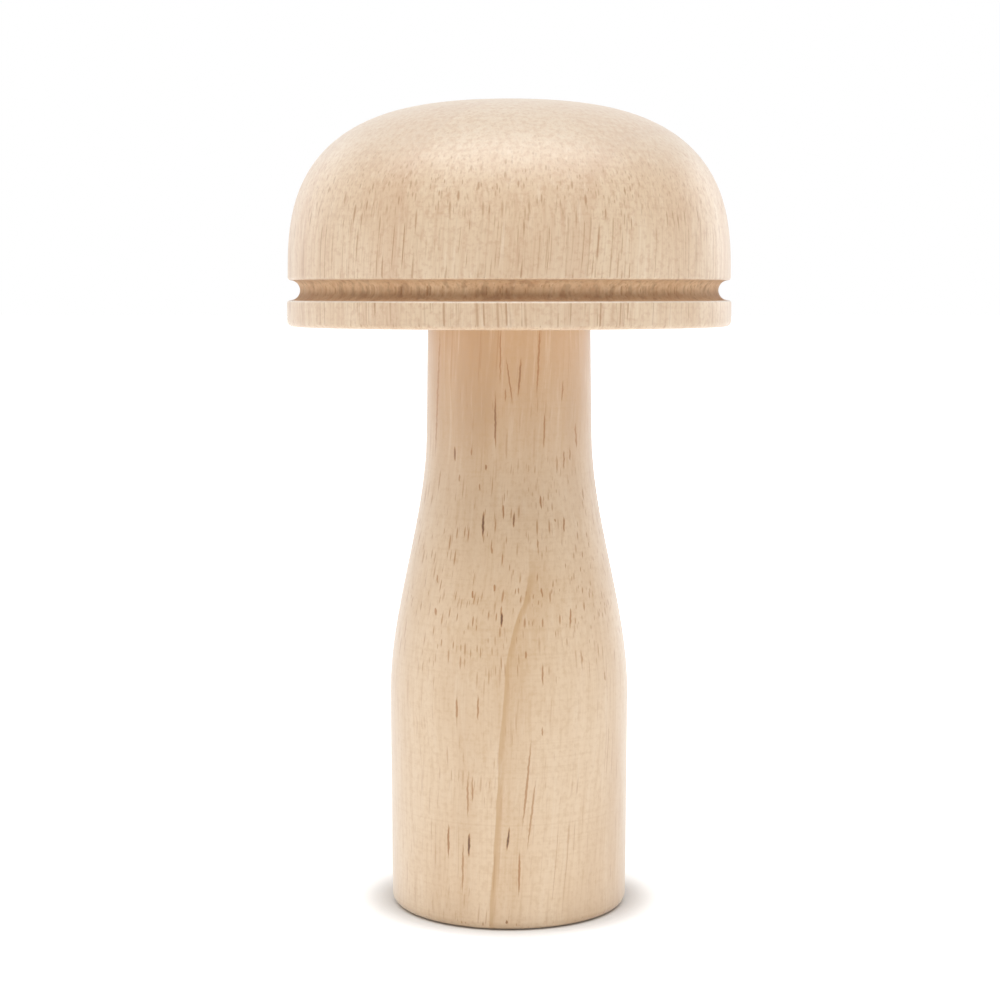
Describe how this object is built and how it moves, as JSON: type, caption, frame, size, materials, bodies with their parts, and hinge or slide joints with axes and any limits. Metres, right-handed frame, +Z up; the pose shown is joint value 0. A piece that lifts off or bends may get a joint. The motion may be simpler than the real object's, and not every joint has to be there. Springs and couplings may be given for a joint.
{
  "type": "darning mushroom",
  "caption": "Turned wooden darning mushroom: a flat-topped dome with a thread groove above its rim, dowelled to a bottle-shaped handle that stands on a flat foot.",
  "frame": {"origin": "middle of the foot's flat underside, where the mushroom stands", "axes": "+Z up along the turning axis, from the foot to the top of the dome; X and Y are alike, because every outside surface is turned"},
  "size_m": [0.0582, 0.0582, 0.106],
  "materials": {
    "cap_wood": "fine-sanded pale hardwood, clear waxed, satin, end grain on the dome",
    "handle_wood": "fine-sanded pale hardwood, clear waxed, satin, grain along the handle",
    "dowel_wood": "raw fluted hardwood dowel"
  },
  "bodies": {
    "root": {"cap": "cap_wood", "handle": "handle_wood", "dowel": "dowel_wood"}
  },
  "joints": []
}
